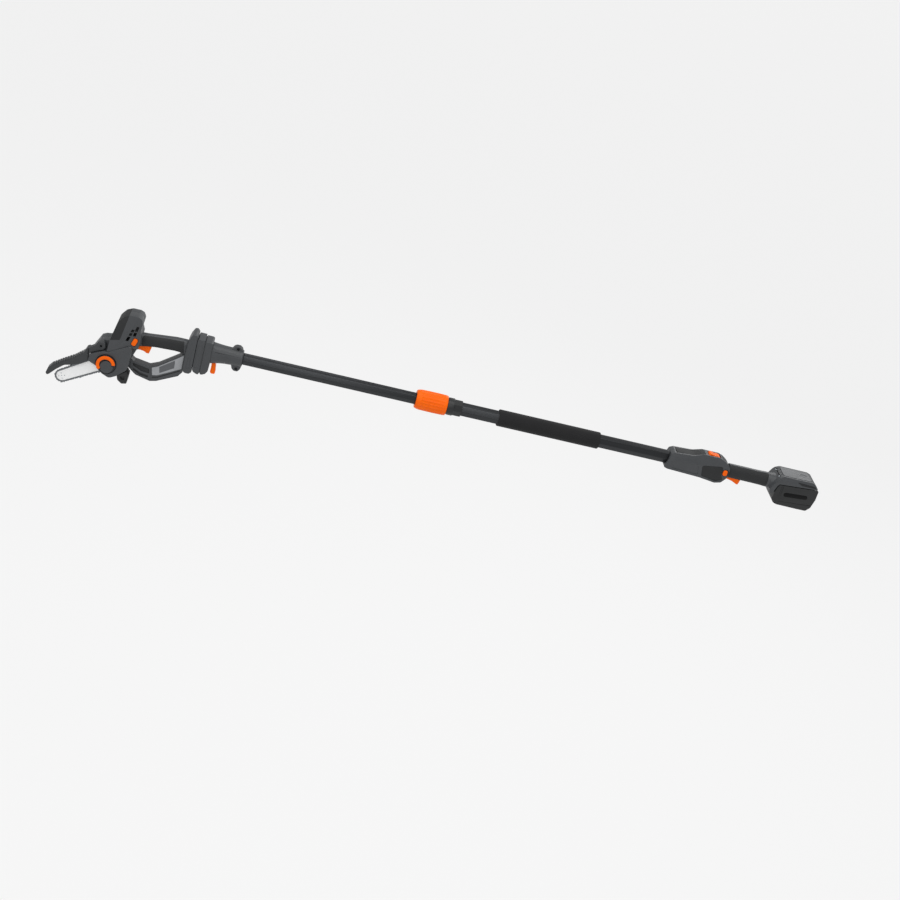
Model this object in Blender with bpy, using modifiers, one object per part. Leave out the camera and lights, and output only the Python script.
"""Telescoping battery pole saw: an extending pole with a control handle and a slide battery at its rear end,
and a small chain saw with its own handle plugged on its head.

Frame: +X runs along the pole towards the battery, +Z is up in use, -Y is the sprocket cover's side.
The origin is the middle of the foam grip, on the pole's axis. Outlines are (x, z) points in millimetres.
"""
import math

import bmesh
import bpy
from mathutils import Matrix, Vector

MM = 0.001
GAP = 0.3                 # clearance between pieces that touch

# Pole
GRIP_HALF = 140.0         # half the foam grip's length
GRIP_R = 22.5
OUTER_R, OUTER_BORE = 19.25, 17.65
INNER_R, INNER_BORE = 16.5, 14.9
TUBE_SIDES = 8            # the tubes are eight-sided, so that one can't turn in the other
OUTER_FRONT, OUTER_REAR = -276.0, 350.0
INNER_FRONT, INNER_REAR = -883.7, -180.0
COLLAR_FRONT, COLLAR_REAR = -364.0, -280.6
BASE_REAR = -241.0

# Rear end
HANDLE_REAR = 622.0
PACK_FRONT, PACK_REAR = 641.5, 755.0
PACK_HALF_WIDTH = 37.0
PACK_BOTTOM, PACK_TOP = -50.5, 3.5
CELL_R, CELL_LENGTH, CELL_PITCH, CELL_COUNT = 10.1, 66.0, 20.5, 5

# Saw head: the sprocket shaft, the bar stud and the bar's nose lie on one line
STUD = (-1157.0, -80.0)
NOSE = (-1262.0, -146.5)
SPROCKET_BACK = 28.0      # from the bar stud back to the sprocket shaft
CHAIN_R_REAR, CHAIN_R_NOSE = 24.0, 19.0
CHAIN_DEPTH = 5.4
BAR_Y = -29.0             # middle plane of bar and chain
FIN_LEAN = math.radians(8.0)
FIN_TAPER = 0.3 / 74.0    # share of its width that the fin loses per millimetre of height
FIN_TAPER_FROM = -16.0
GUARD_PIVOT = (-1177.0, -37.0)
SEAM = 0.15               # half the gap between the two halves of a casing

bar_length = math.dist(STUD, NOSE)
bar_dir = ((NOSE[0] - STUD[0]) / bar_length, (NOSE[1] - STUD[1]) / bar_length)
SPROCKET = (STUD[0] - SPROCKET_BACK * bar_dir[0], STUD[1] - SPROCKET_BACK * bar_dir[1])
motor_axis = Vector((math.sin(FIN_LEAN), 0.0, math.cos(FIN_LEAN)))

for old in list(bpy.data.objects):
    bpy.data.objects.remove(old, do_unlink=True)
parts = bpy.data.collections.new("telescoping_pole_saw")
cutters = bpy.data.collections.new("cutters")
bpy.context.scene.collection.children.link(parts)
bpy.context.scene.collection.children.link(cutters)

FINISHES = {              # base colour, roughness, metallic
    "anodised": ((0.030, 0.032, 0.034), 0.38, 0.6),
    "foam": ((0.022, 0.022, 0.023), 0.95, 0.0),
    "casing": ((0.085, 0.088, 0.092), 0.50, 0.0),
    "rubber": ((0.030, 0.030, 0.031), 0.80, 0.0),
    "orange": ((0.95, 0.19, 0.010), 0.42, 0.0),
    "black": ((0.018, 0.018, 0.019), 0.45, 0.0),
    "steel": ((0.62, 0.63, 0.64), 0.30, 1.0),
    "copper": ((0.55, 0.25, 0.12), 0.40, 1.0),
    "cell": ((0.05, 0.20, 0.42), 0.45, 0.0),
    "board": ((0.02, 0.16, 0.07), 0.55, 0.0),
}


def finish(obj, name):
    """Gives the object a Principled material of its own in one of the named finishes."""
    colour, roughness, metallic = FINISHES[name]
    material = bpy.data.materials.new(obj.name + "_" + name)
    material.use_nodes = True
    shader = material.node_tree.nodes["Principled BSDF"]
    shader.inputs["Base Color"].default_value = (*colour, 1.0)
    shader.inputs["Roughness"].default_value = roughness
    shader.inputs["Metallic"].default_value = metallic
    obj.data.materials.append(material)


def place(name, mesh, finish_name, origin=(0.0, 0.0, 0.0), turn=Matrix.Identity(4)):
    """Links a mesh as a part, or as a cutter if it has no finish. The origin is in millimetres."""
    obj = bpy.data.objects.new(name, mesh)
    obj.matrix_world = Matrix.Translation(Vector(origin) * MM) @ turn
    if finish_name:
        parts.objects.link(obj)
        finish(obj, finish_name)
    else:
        cutters.objects.link(obj)
        obj.hide_render = True
        obj.display_type = "WIRE"
    mesh.shade_smooth()
    mesh.set_sharp_from_angle(angle=math.radians(35))
    return obj


def slab(name, outline, y_low, y_high, finish_name=None, bevel=0.0, hole=None, pivot=(0.0, 0.0)):
    """A flat (x, z) outline with thickness from y_low to y_high; its origin is at the pivot."""
    curve = bpy.data.curves.new(name, "CURVE")
    curve.dimensions = "2D"
    curve.fill_mode = "BOTH"
    curve.extrude = (y_high - y_low) / 2 * MM
    for points in filter(None, (outline, hole)):
        spline = curve.splines.new("POLY")
        spline.points.add(len(points) - 1)
        spline.use_cyclic_u = True
        for point, (x, z) in zip(spline.points, points):
            point.co = ((x - pivot[0]) * MM, (z - pivot[1]) * MM, 0.0, 1.0)
    flat = bpy.data.objects.new(name + "_outline", curve)
    bpy.context.scene.collection.objects.link(flat)
    depsgraph = bpy.context.evaluated_depsgraph_get()
    mesh = bpy.data.meshes.new_from_object(flat.evaluated_get(depsgraph))
    bpy.data.objects.remove(flat, do_unlink=True)
    bpy.data.curves.remove(curve)
    shape = bmesh.new()
    shape.from_mesh(mesh)
    bmesh.ops.remove_doubles(shape, verts=shape.verts, dist=0.00001)
    bmesh.ops.recalc_face_normals(shape, faces=shape.faces)
    if not hole:
        bmesh.ops.dissolve_limit(shape, angle_limit=0.01, verts=shape.verts, edges=shape.edges)
    shape.to_mesh(mesh)
    shape.free()
    obj = place(name, mesh, finish_name, (pivot[0], (y_low + y_high) / 2, pivot[1]),
                Matrix.Rotation(math.pi / 2, 4, "X"))
    if bevel:
        soften(obj, bevel)
    return obj


def soften(obj, width, segments=2):
    bevel = obj.modifiers.new("rounded_edges", "BEVEL")
    bevel.width = width * MM
    bevel.segments = segments
    bevel.limit_method = "ANGLE"
    bevel.angle_limit = math.radians(40)


def block(name, low, high, finish_name=None, bevel=0.0, origin=None):
    """A box between two corners, with its origin at its middle or at the point given."""
    middle = [(a + b) / 2 for a, b in zip(low, high)]
    origin = origin or middle
    shape = bmesh.new()
    bmesh.ops.create_cube(shape, size=1.0)
    bmesh.ops.scale(shape, vec=[(b - a) * MM for a, b in zip(low, high)], verts=shape.verts)
    bmesh.ops.translate(shape, vec=[(m - o) * MM for m, o in zip(middle, origin)], verts=shape.verts)
    mesh = bpy.data.meshes.new(name)
    shape.to_mesh(mesh)
    shape.free()
    obj = place(name, mesh, finish_name, origin)
    if bevel:
        soften(obj, bevel)
    return obj


def aligned(direction):
    """The turn that brings a turned piece's own +Z to the direction."""
    return Vector(direction).to_track_quat("Z", "Y").to_matrix().to_4x4()


def turned(name, profile, finish_name=None, origin=(0.0, 0.0, 0.0), direction=(1, 0, 0), steps=32,
           ring=False):
    """A (radius, height) profile spun about the direction. It runs down the outer side from the top;
    a ring's profile then comes back up its bore."""
    mesh = bpy.data.meshes.new(name)
    shape = bmesh.new()
    points = [shape.verts.new((radius * MM, 0.0, height * MM)) for radius, height in profile]
    for first, second in zip(points, points[1:] + (points[:1] if ring else [])):
        shape.edges.new((first, second))
    shape.to_mesh(mesh)
    shape.free()
    obj = place(name, mesh, finish_name, origin, aligned(direction))
    screw = obj.modifiers.new("spin", "SCREW")
    screw.steps = steps
    screw.render_steps = steps
    screw.use_merge_vertices = True
    screw.merge_threshold = 0.00001
    screw.use_smooth_shade = True
    return obj


def sleeve(name, start, end, outer, bore, finish_name=None, origin=(0.0, 0.0, 0.0), direction=(1, 0, 0),
           steps=32):
    profile = [(outer, end), (outer, start), (bore, start), (bore, end)]
    return turned(name, profile, finish_name, origin, direction, steps, ring=True)


def rod(name, start, end, radius, finish_name=None, origin=(0.0, 0.0, 0.0), direction=(1, 0, 0), steps=24):
    profile = [(0.0, end), (radius, end), (radius, start), (0.0, start)]
    return turned(name, profile, finish_name, origin, direction, steps)


def combine(target, others, operation):
    for other in others:
        boolean = target.modifiers.new(other.name, "BOOLEAN")
        boolean.operation = operation
        boolean.object = other
        boolean.solver = "EXACT"


def cut(target, *others):
    combine(target, others, "DIFFERENCE")


def join(target, *others):
    combine(target, others, "UNION")


def arc(centre, radius, start, end, count):
    """Points on an arc from one angle to another, in degrees, both ends included."""
    angles = [math.radians(start + (end - start) * i / (count - 1)) for i in range(count)]
    return [(centre[0] + radius * math.cos(a), centre[1] + radius * math.sin(a)) for a in angles]


def belt(rear_radius, nose_radius, count=13):
    """The outline of a belt round the sprocket and the bar's nose."""
    span = math.dist(SPROCKET, NOSE)
    heading = math.degrees(math.atan2(bar_dir[1], bar_dir[0]))
    open_angle = 90 - math.degrees(math.asin((rear_radius - nose_radius) / span))
    rear = arc(SPROCKET, rear_radius, heading + open_angle, heading + 360 - open_angle, count)
    nose = arc(NOSE, nose_radius, heading - open_angle, heading + open_angle, count)
    return rear + nose


def along_bar(distance, side):
    """A point at a distance from the sprocket shaft towards the nose, and to the upper side of the bar."""
    return (SPROCKET[0] + distance * bar_dir[0] + side * bar_dir[1],
            SPROCKET[1] + distance * bar_dir[1] - side * bar_dir[0])


def outward(sign, inner, outer):
    """The low and high Y of a shape that runs from inner to outer on one side of the middle plane."""
    return sorted((sign * inner, sign * outer))


def taper(obj):
    """Narrows a slab evenly towards the fin's top, in its own frame, where y is height and z is -width."""
    centre_y = obj.matrix_world.translation.y
    for vertex in obj.data.vertices:
        height = vertex.co.y / MM
        width = (centre_y - vertex.co.z) * (1 - FIN_TAPER * (height - FIN_TAPER_FROM))
        vertex.co.z = centre_y - width


# ---------------------------------------------------------------- pole
sleeve("outer_tube", OUTER_FRONT, OUTER_REAR, OUTER_R, OUTER_BORE, "anodised", steps=TUBE_SIDES)

grip_bore = OUTER_R + GAP
turned("foam_grip", [(grip_bore + 1.2, GRIP_HALF), (GRIP_R - 0.6, GRIP_HALF - 0.6), (GRIP_R, GRIP_HALF - 3),
                     (GRIP_R, 3 - GRIP_HALF), (GRIP_R - 0.6, 0.6 - GRIP_HALF), (grip_bore + 1.2, -GRIP_HALF),
                     (grip_bore, -GRIP_HALF), (grip_bore, GRIP_HALF)], "foam", ring=True)

base_front = COLLAR_REAR + 0.6
turned("collar_base", [(21.0, BASE_REAR), (21.5, -253.5), (22.8, -255.0), (23.4, -276.0), (22.4, base_front),
                       (INNER_R + 0.4, base_front), (INNER_R + 0.4, OUTER_FRONT - GAP),
                       (grip_bore, OUTER_FRONT - GAP), (grip_bore, BASE_REAR)], "black", ring=True)

collet_ring = sleeve("collet_ring", -352.0, base_front - GAP, 18.6, INNER_R + GAP, "black")
cut(collet_ring, block("collet_slit", (-360, -1.2, 10), (-300, 1.2, 30)))

turned("lock_collar", [(22.6, COLLAR_REAR), (25.6, -284.0), (27.4, -292.0), (27.5, -340.0), (26.0, -356.0),
                       (23.4, COLLAR_FRONT), (INNER_R + 0.5, COLLAR_FRONT), (INNER_R + 0.5, -354.0),
                       (19.2, -354.0), (19.2, COLLAR_REAR)], "orange", ring=True)

sleeve("inner_tube", INNER_FRONT, INNER_REAR, INNER_R, INNER_BORE, "anodised", steps=TUBE_SIDES)
bush_face = INNER_REAR + GAP
flat_share = math.cos(math.pi / TUBE_SIDES)
BUSH_R = OUTER_BORE * flat_share - 0.2
PLUG_R = INNER_BORE * flat_share - GAP
turned("tube_end_bush", [(BUSH_R, bush_face + 8), (BUSH_R, bush_face), (PLUG_R, bush_face), (PLUG_R, -202.0),
                         (5.0, -202.0), (5.0, bush_face + 8)], "black", ring=True)
rod("coil_cable", bush_face + 8.4, 346.0, 12.0, "rubber", steps=12)

# ---------------------------------------------------------------- rear control housing
BODY = [(328, -23.5), (330, 21.5), (343, 25), (398, 28), (424, 37), (470, 37), (486, 32), (500, 22),
        (510, 18),
        (510, -20), (503, -20), (495, -31), (476, -36), (431, -30), (340, -26)]
BODY_HOLLOW = [(352, -21), (352, 17), (398, 20.5), (424, 29.5), (436, 33.5), (468, 33.5), (484, 28.5),
               (498, 18), (501, -14), (492, -27.5), (476, -32.5), (431, -26.5)]
HANDLE_FRONT_R = 18.5
HANDLE_CORE = [(550, 13), (HANDLE_REAR, 13), (HANDLE_REAR, -13), (550, -13)]
HANDLE_HOLLOW = [(495, 10), (618, 10), (618, -10), (495, -10)]
REAR_LOCKOUT = (493.5, 1.5)
REAR_LOCKOUT_R = 7.0

tube_seat = rod("tube_seat", 320.0, OUTER_REAR + GAP, grip_bore)
rear_trigger_slot = block("rear_trigger_slot", (506, -6.8, -40), (550, 6.8, -5))
power_slot = block("power_slot", (438, -12, 26), (474, 12, 50))
rear_lockout_hole = rod("rear_lockout_hole", -60, 60, REAR_LOCKOUT_R + 0.4,
                        origin=(REAR_LOCKOUT[0], 0, REAR_LOCKOUT[1]), direction=(0, 1, 0))
inlay_pocket = slab("inlay_pocket", [(352, 50), (352, 22.6), (398, 25.4), (420, 33), (428, 36), (428, 50)],
                    -14, 14)
rear_screw_hole = rod("rear_screw_hole", -60, 60, 2.4, origin=(452, 0, -22), direction=(0, 1, 0), steps=16)

for side, sign in (("left", -1), ("right", 1)):
    half = slab("control_housing_" + side, BODY, *outward(sign, SEAM, 26), "casing")
    handle_front = rod("handle_front_" + side, 498, 553, HANDLE_FRONT_R)
    cut(handle_front, block("other_side_" + side, (490, min(-40 * sign, SEAM * sign), -40),
                            (560, max(-40 * sign, SEAM * sign), 40)))
    handle_core = slab("handle_core_" + side, HANDLE_CORE, *outward(sign, SEAM, 12))
    hollow = slab("body_hollow_" + side, BODY_HOLLOW, *outward(sign, -1, 23))
    handle_hollow = slab("handle_hollow_" + side, HANDLE_HOLLOW, *outward(sign, -1, 9))
    screw_boss = rod("screw_boss_" + side, *outward(sign, SEAM, 24), 5.0, origin=(452, 0, -22),
                     direction=(0, 1, 0), steps=16)
    join(half, handle_front, handle_core)
    cut(half, hollow, handle_hollow)
    join(half, screw_boss)
    cut(half, tube_seat, rear_trigger_slot, power_slot, rear_lockout_hole, inlay_pocket, rear_screw_hole)

slab("top_inlay", [(352.4, 28.0), (352.4, 23.0), (398, 25.8), (420, 33.4), (427.6, 36.4), (427.6, 37.2),
                   (418, 35.5), (398, 28.2), (380, 27.0)], -13.6, 13.6, "rubber")
turned("housing_screw", [(0.0, 20.0), (2.0, 20.0), (2.0, -26.3), (4.2, -26.3), (4.2, -27.6), (3.4, -28.4),
                         (0.0, -28.4)], "steel", (452, 0, -22), (0, -1, 0), 16)

slab("rear_trigger", [(507, -20.5), (508, -12), (514, -9.5), (548, -13), (547.5, -20), (545, -32),
                      (539, -31), (526, -25.5), (514, -22)], -6.2, 6.2, "orange", bevel=1.5, pivot=(512, -13))
turned("rear_lockout_button", [(0.0, 27.5), (6.2, 27.5), (REAR_LOCKOUT_R, 26.5), (REAR_LOCKOUT_R, -26.5),
                               (6.2, -27.5), (0.0, -27.5)], "orange",
       (REAR_LOCKOUT[0], 0, REAR_LOCKOUT[1]), (0, 1, 0), 20)
slab("power_button", [(438.4, 27), (438.4, 39), (442, 40.2), (457, 39.4), (470, 37.8), (473.6, 35.5),
                      (473.6, 27)], -11.6, 11.6, "orange", bevel=1.2, pivot=(456, 34))
block("rear_switch", (516, -5, -2.5), (536, 5, 8.5), "black")
block("controller_board", (366, -16, -2), (426, 16, 1.2), "board")
sleeve("rear_trigger_spring", -12.0, 9.7, 2.6, 1.8, "steel", (542, 0, 0), (0, 0, 1), 12)
grip_sleeve = rod("rear_grip_sleeve", 553.6, 616.0, 19.5, "rubber", steps=28)
cut(grip_sleeve, block("sleeve_bore", (540, -12.3, -13.3), (630, 12.3, 13.3)))

# ---------------------------------------------------------------- battery housing and battery
battery_housing = slab("battery_housing", [(646, 33), (735, 33), (750, 27), (756, 14), (756, 7), (641, 7),
                                           (640.6, -26), (629, -26), (626, -12), (640, 20)], -37.5, 37.5,
                       "casing", bevel=2.5)
neck = turned("housing_neck", [(0, 640.2), (24.5, 640.2), (21.5, 630), (20, 616.6), (0, 616.6)])
join(battery_housing, neck)
cut(battery_housing,
    block("battery_bay", (PACK_FRONT, -34.5, -1), (770, 34.5, 24)),
    block("terminal_bay", (PACK_FRONT, -34.5, 20), (748, 34.5, 29.5)),
    block("handle_seat", (610, -12.3, -13.3), (HANDLE_REAR + 0.8, 12.3, 13.3)),
    rod("wire_hole", 615, 650, 5.0, steps=12),
    block("cover_pocket", (654.7, -30.3, 31.0), (734.3, 30.3, 40)))
block("battery_housing_cover", (655, -30, 31.3), (734, 30, 33.9), "casing", bevel=0.8)
block("battery_terminal", (643, -18, 12), (663, 18, 29.2), "black")

battery_case = slab("battery_case", [(PACK_FRONT, PACK_TOP), (PACK_FRONT, -34), (645.5, -43.5), (655, -50),
                                     (716, PACK_BOTTOM), (742, -50), (751, -38.5), (PACK_REAR, -12),
                                     (PACK_REAR, PACK_TOP)], -PACK_HALF_WIDTH, PACK_HALF_WIDTH, "casing",
                    bevel=2.5)
cut(battery_case,
    slab("case_hollow", [(645, 20), (645, -33), (648.5, -41), (656, -47), (740, -47), (747.5, -36.5),
                         (751.5, -12), (751.5, 20)], -34.3, 34.3),
    block("button_recess", (746, -11.3, -8.3), (770, 11.3, 20)))
battery_lid = block("battery_lid", (PACK_FRONT + 0.7, -33.5, PACK_TOP + GAP),
                    (PACK_REAR - 0.4, 33.5, 8.6), "black")
join(battery_lid, block("battery_rails", (668, -24, 8), (748, 24, 22)))
block("battery_release_button", (749, -11, -8), (758.5, 11, 3), "orange", bevel=1.5)
for number in range(CELL_COUNT):
    rod("battery_cell_%d" % (number + 1), -CELL_LENGTH / 2, CELL_LENGTH / 2, CELL_R, "cell",
        (655.5 + CELL_PITCH * number, 0, -22), (0, 1, 0), 20)

# ---------------------------------------------------------------- pole head
SOCKET_REAR = -824.0
SOCKET_FRONT = -903.4
LUG_SCREWS = {"top": (-845.0, 25.6), "bottom": (-835.5, -29.0)}

pole_socket = turned("pole_socket", [(21.6, SOCKET_REAR), (22.8, SOCKET_REAR - 1.5), (22.8, -868), (24, -880),
                                     (27, -892), (30.5, SOCKET_FRONT), (5, SOCKET_FRONT), (5, -884),
                                     (INNER_R + GAP, -884), (INNER_R + GAP, SOCKET_REAR)],
                     "casing", ring=True)
join(pole_socket,
     slab("top_lug", [(-859, 19), (-853, 28), (-847, 31.5), (-840, 31.5), (-835, 27), (-831, 18)], -8, 8),
     slab("bottom_lug", [(-850, -19), (-846, -29), (-840, -35), (-832, -35.5), (-827, -30), (-823, -18)],
          -8, 8))
cut(pole_socket, block("lever_slot", (-910, -10, -40), (-877, 10, -19.5)))
for end, (x, z) in LUG_SCREWS.items():
    cut(pole_socket, rod("lug_hole_" + end, -20, 20, 2.3, origin=(x, 0, z), direction=(0, 1, 0), steps=16))
    turned("socket_screw_" + end, [(0, 9), (2, 9), (2, -8.3), (3.8, -8.3), (3.8, -10), (3, -10.8), (0, -10.8)],
           "steel", (x, 0, z), (0, 1, 0), 16)
rod("head_cable", -902.0, -196.0, 3.2, "black", steps=10)

adapter = slab("adapter_body", [(-943.7, -50), (-943.7, 30), (-939, 35), (-924, 35), (-922, 33), (-908, 33),
                                (-904, 29), (-904, -46), (-909, -55), (-916, -60), (-930, -61), (-940, -56)],
               -25, 25, "casing", bevel=3.0)
join(adapter, block("adapter_tongue", (-950.7, -14, -50), (-941, 14, 30)))
cut(adapter, block("terminal_pocket", (-936, -18, -12), (-900, 18, 22)))
block("adapter_terminal", (-935.6, -15, -8), (-920, 15, 18), "black")
slab("release_lever", [(-899, -23.5), (-889.5, -23.5), (-886.5, -38), (-885, -54), (-887, -56.5), (-896, -57),
                       (-898.5, -54), (-898, -38)], -8.5, 8.5, "orange", bevel=1.5, pivot=(-894, -26))

# ---------------------------------------------------------------- saw head casing
DRIVE = [(-1201.5, -73), (-1199, -60), (-1191, -44), (-1184, -30), (-1174, -25), (-1162, -24),
         (-1158.5, -15.6), (-1084.5, -15.6), (-1092, -38), (-1100, -60), (-1104, -88), (-1127, -108),
         (-1144, -116), (-1162, -108), (-1182, -88)]
DRIVE_HOLLOW = [(-1186, -60), (-1182, -42), (-1172, -30), (-1158, -28), (-1154, -10), (-1090, -10),
                (-1095.5, -38), (-1103.5, -60), (-1107.5, -86), (-1129, -104.5), (-1144, -112), (-1160, -105),
                (-1178, -86)]
FIN = [(-1159.5, -24), (-1158, -14.4), (-1140, -11.2), (-1126, 57.6), (-1122, 58), (-1102, 59), (-1091, 54),
       (-1086, 44), (-1088, 20), (-1083, 8), (-1086, -20), (-1098, -22), (-1107, -16.6), (-1157, -44),
       (-1161, -44)]
FIN_HOLLOW = [(-1150, -12), (-1142, 40), (-1128, 54.2), (-1103, 55.5), (-1094.5, 51), (-1090, 43), (-1092, 20),
              (-1091, -12)]
SAW_HANDLE = [(-1095, 2), (-1066, 9), (-1025, 15.5), (-990, 17), (-968.3, 16), (-968.3, -25), (-977, -22),
              (-988, -19), (-1017, -22), (-1056, -25), (-1095, -33)]
SAW_HANDLE_HOLLOW = [(-1096, -4), (-1066, 4.5), (-1025, 11.5), (-990, 13), (-974, 12), (-974, -18), (-988, -15),
                     (-1017, -18), (-1056, -21), (-1096, -28)]
PAD = [(-1157.8, -14), (-1150, 40), (-1138, 52), (-1126.5, 57.3), (-1140.4, -10.9)]
PAD_HOLLOW = [(-1154.3, -10), (-1147, 38.6), (-1136.4, 49), (-1126, 53.6), (-1123, 53.6), (-1137, -9)]
SAW_LOCKOUT = (-1097.0, -6.0)
SAW_LOCKOUT_R = 6.5
SHAFT_R = 4.0
RUNNING_BORE = SHAFT_R + 0.05
shaft_at = {"origin": (SPROCKET[0], 0, SPROCKET[1]), "direction": (0, 1, 0)}

saw_trigger_slot = block("saw_trigger_slot", (-1093, -6.6, -45), (-1053, 6.6, -12))
saw_lockout_hole = rod("saw_lockout_hole", -60, 60, SAW_LOCKOUT_R + 0.4,
                       origin=(SAW_LOCKOUT[0], 0, SAW_LOCKOUT[1]), direction=(0, 1, 0), steps=20)
halves = {}
for side, sign, drive_width, fin_width in (("left", -1, 24, 42), ("right", 1, 26, 32)):
    half = slab("head_housing_" + side, DRIVE, *outward(sign, SEAM, drive_width), "casing")
    fin = slab("fin_" + side, FIN, *outward(sign, SEAM, fin_width))
    fin_hollow = slab("fin_hollow_" + side, FIN_HOLLOW, *outward(sign, -1, fin_width - 3.5))
    taper(fin)
    taper(fin_hollow)
    join(half, fin, slab("saw_handle_" + side, SAW_HANDLE, *outward(sign, SEAM, 15)))
    cut(half, fin_hollow,
        slab("drive_hollow_" + side, DRIVE_HOLLOW, *outward(sign, -1, drive_width - 3.5)),
        slab("saw_handle_hollow_" + side, SAW_HANDLE_HOLLOW, *outward(sign, -1, 11.5)),
        slab("low_vent_" + side, [(-1119, -6), (-1115, -6), (-1105, 24), (-1109, 24)],
             *outward(sign, 20, 60)),
        slab("high_vent_" + side, [(-1102, 8), (-1098, 8), (-1093, 33), (-1097, 33)],
             *outward(sign, 20, 60)),
        saw_trigger_slot, saw_lockout_hole)
    halves[side] = half
join(halves["left"], rod("guard_pin", -40, -21, 3.0, origin=(GUARD_PIVOT[0], 0, GUARD_PIVOT[1]),
                         direction=(0, 1, 0), steps=16))
cut(halves["left"], rod("bearing_seat", -30, -15, 9.0 + GAP, **shaft_at),
    rod("stud_hole", -30, -15, 4.3, origin=(STUD[0], 0, STUD[1]), direction=(0, 1, 0), steps=16))
join(halves["right"], rod("shaft_boss", 14, 24, 8.0, **shaft_at))
cut(halves["right"], rod("shaft_bore", 10, 23.2, RUNNING_BORE, **shaft_at))

fin_pad = slab("fin_pad", PAD, -42, 32, "rubber")
pad_hollow = slab("pad_hollow", PAD_HOLLOW, -38.5, 28.5)
taper(fin_pad)
taper(pad_hollow)
cut(fin_pad, pad_hollow)

slab("hand_guard", [(-1098.5, -62), (-1091, -72), (-1052, -78), (-1031, -74), (-994, -49), (-972, -33),
                    (-968.6, -31), (-968.6, -72), (-976, -84), (-1028, -111), (-1044, -115), (-1083, -106),
                    (-1102.4, -87.5)], -13, 13, "casing", bevel=3.0)
saw_base = slab("saw_base", [(-944.3, 40), (-950, 46), (-958, 44), (-964, 33), (-968, 18), (-968, -60),
                             (-962, -66), (-950, -66), (-944.3, -60)], -25, 25, "casing", bevel=3.0)
cut(saw_base, block("tongue_groove", (-951.2, -14.4, -80), (-935, 14.4, 30.6)))
slab("branch_hook", [(-1125.5, -107.9), (-1122, -119), (-1111, -127), (-1098, -124), (-1097, -100),
                     (-1104.5, -92)], -40, -8, "black", bevel=2.0)

# ---------------------------------------------------------------- drive
MOTOR_AT = 80.5           # from the sprocket shaft up the motor's axis to the motor's middle
motor_middle = Vector((SPROCKET[0], 0, SPROCKET[1])) + motor_axis * MOTOR_AT

turned("motor_can", [(0, 26), (18, 26), (20, 24), (20, -24), (18, -26), (2.8, -26), (2.8, 20), (0, 20)],
       "steel", motor_middle, motor_axis, 24)
turned("motor_shaft", [(0, 95), (2.5, 95), (2.5, 20.5), (7.9, 20.5), (5.5, 14.5), (0, 14.5)],
       "steel", (SPROCKET[0], 0, SPROCKET[1]), motor_axis, 20)
sleeve("shaft_bearing", -23.7, -18.0, 9.0, RUNNING_BORE, "steel", **shaft_at, steps=24)
rod("sprocket_shaft", -34.0, 23.0, SHAFT_R, "steel", **shaft_at)
turned("bevel_gear", [(20.4, -8.6), (18, -12), (SHAFT_R + GAP, -12), (SHAFT_R + GAP, -6.2), (14.5, -6.2)],
       "steel", **shaft_at, ring=True)

TEETH = 7
sprocket_outline = []
for tooth in range(TEETH):
    middle_angle = 360 / TEETH * tooth
    sprocket_outline += arc(SPROCKET, 17.8, middle_angle - 7, middle_angle + 7, 2)
    sprocket_outline += arc(SPROCKET, 13.6, middle_angle + 17, middle_angle + 360 / TEETH - 17, 2)
slab("drive_sprocket", sprocket_outline, BAR_Y - 2.8, BAR_Y + 2.8, "steel",
     hole=arc(SPROCKET, SHAFT_R + GAP + 0.1, 0, 342, 20), pivot=SPROCKET)

# ---------------------------------------------------------------- bar, chain, cover and guard
slab("saw_chain", belt(CHAIN_R_REAR, CHAIN_R_NOSE), BAR_Y - 3.2, BAR_Y + 3.2, "steel",
     hole=belt(CHAIN_R_REAR - CHAIN_DEPTH, CHAIN_R_NOSE - CHAIN_DEPTH))
bar_nose_r = CHAIN_R_NOSE - CHAIN_DEPTH - GAP
nose_points = belt(CHAIN_R_REAR - CHAIN_DEPTH - GAP, bar_nose_r)[13:]
guide_bar = slab("guide_bar", nose_points + [along_bar(26, -17.2), along_bar(20.5, -12), along_bar(20.5, 12),
                                             along_bar(26, 17.2)], BAR_Y - 0.9, BAR_Y + 0.9, "steel")
cut(guide_bar, slab("bar_slot", [along_bar(23.5, 4.4), along_bar(50, 4.4), along_bar(50, -4.4),
                                 along_bar(23.5, -4.4)], BAR_Y - 5, BAR_Y + 5))

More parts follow.
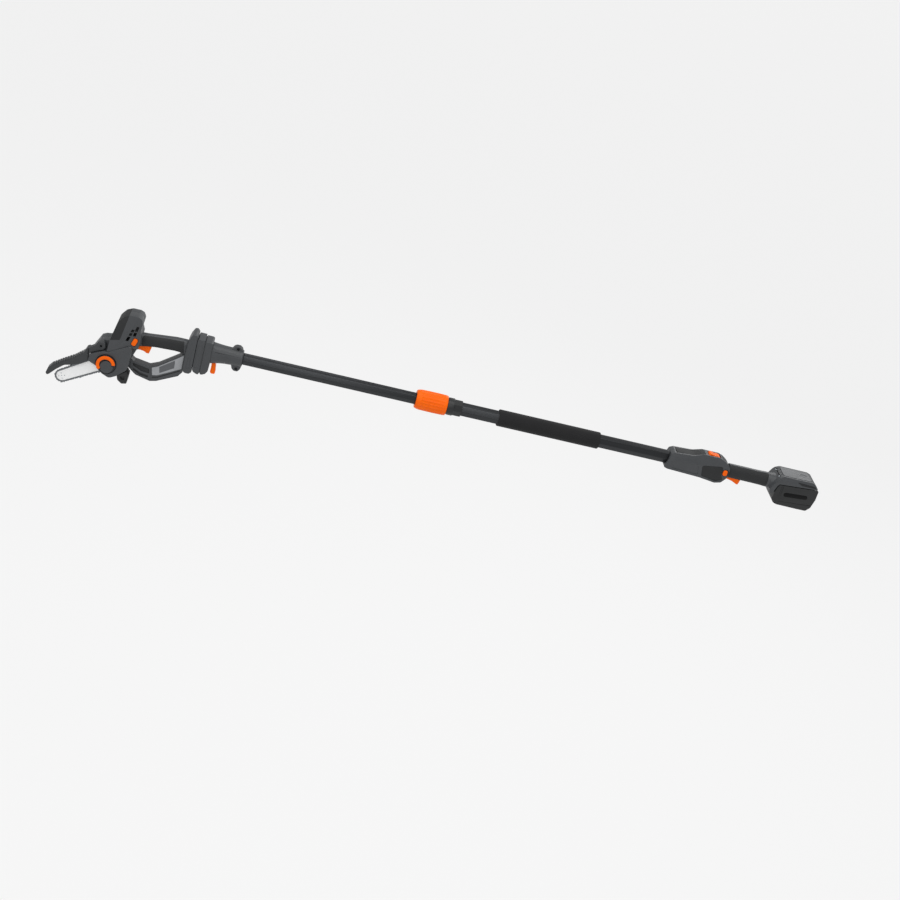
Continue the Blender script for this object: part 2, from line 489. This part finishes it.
stud_at = {"origin": (STUD[0], 0, STUD[1]), "direction": (0, -1, 0)}
rod("bar_stud", 19.0, 45.5, 4.0, "steel", **stud_at, steps=16)
COVER = [(-1197, -66), (-1158, -46), (-1107, -18), (-1101, -20), (-1099, -28), (-1101, -72),
         (-1104.5, -86), (-1127, -107), (-1144, -116.5), (-1163, -108.5), (-1183, -89)]
cover = slab("sprocket_cover", COVER, -47, -24.4, "casing", bevel=2.5)
cut(cover, slab("chain_room", belt(27, 22), -35, -20),
    rod("knob_recess", 43.7, 60, 26.2, **stud_at, steps=32), rod("hub_hole", 30, 50, 9.4, **stud_at))
turned("tension_knob", [(0, 49.5), (24, 49.5), (25, 48.3), (25, 44), (9, 44), (9, 36), (4.4, 36), (4.4, 46.2),
                        (0, 46.2)], "black", **stud_at)
WING_START, WING_END = 8, 224
wing_middle = math.radians((WING_START + WING_END) / 2)
slab("knob_wing", arc(STUD, 24, WING_START, WING_END, 19) + arc(STUD, 15.5, WING_END, WING_START, 19),
     -53.6, -49.9, "orange", bevel=1.0,
     pivot=(STUD[0] - 6 * math.cos(wing_middle), STUD[1] - 6 * math.sin(wing_middle)))

guard = slab("chain_guard", [(-1303, -146), (-1299, -130), (-1290, -119), (-1265, -101), (-1239, -84),
                             (-1216, -64), (-1211, -52), (-1203, -48), (-1203, -86), (-1216, -95),
                             (-1234, -104), (-1259, -111), (-1277, -128), (-1294, -147), (-1300, -151)],
             -41, -17, "casing", bevel=1.5, pivot=GUARD_PIVOT)
join(guard, slab("guard_knuckle", [(-1208, -51), (-1192, -39), (-1185, -27), (-1176, -24.5), (-1168, -27),
                                   (-1165, -36), (-1168, -45), (-1185, -53), (-1200, -61), (-1208, -75)],
                 -40.6, -24.7))
cut(guard, slab("chain_channel", belt(26.5, 21.5), -34.2, -23.4),
    rod("guard_hinge_bore", -60, -10, 3.1, origin=(GUARD_PIVOT[0], 0, GUARD_PIVOT[1]), direction=(0, 1, 0),
        steps=16))

# ---------------------------------------------------------------- triggers and switch in the saw's handle
slab("saw_trigger", [(-1091.5, -37.5), (-1091.5, -29), (-1086, -24.5), (-1057, -18), (-1056, -26), (-1060, -43),
                     (-1066, -42), (-1080, -38.5)], -6, 6, "orange", bevel=1.5, pivot=(-1087, -30))
turned("saw_lockout_button", [(0, 32.5), (5.6, 32.5), (SAW_LOCKOUT_R, 31.5), (SAW_LOCKOUT_R, -41.5),
                              (5.6, -42.5), (0, -42.5)], "orange",
       (SAW_LOCKOUT[0], 0, SAW_LOCKOUT[1]), (0, 1, 0), 20)
block("saw_switch", (-1081, -4.5, -14), (-1064, 4.5, -3), "black")
sleeve("saw_trigger_spring", -18.2, 5.0, 2.4, 1.7, "steel", (-1060, 0, 0), (0, 0, 1), 12)
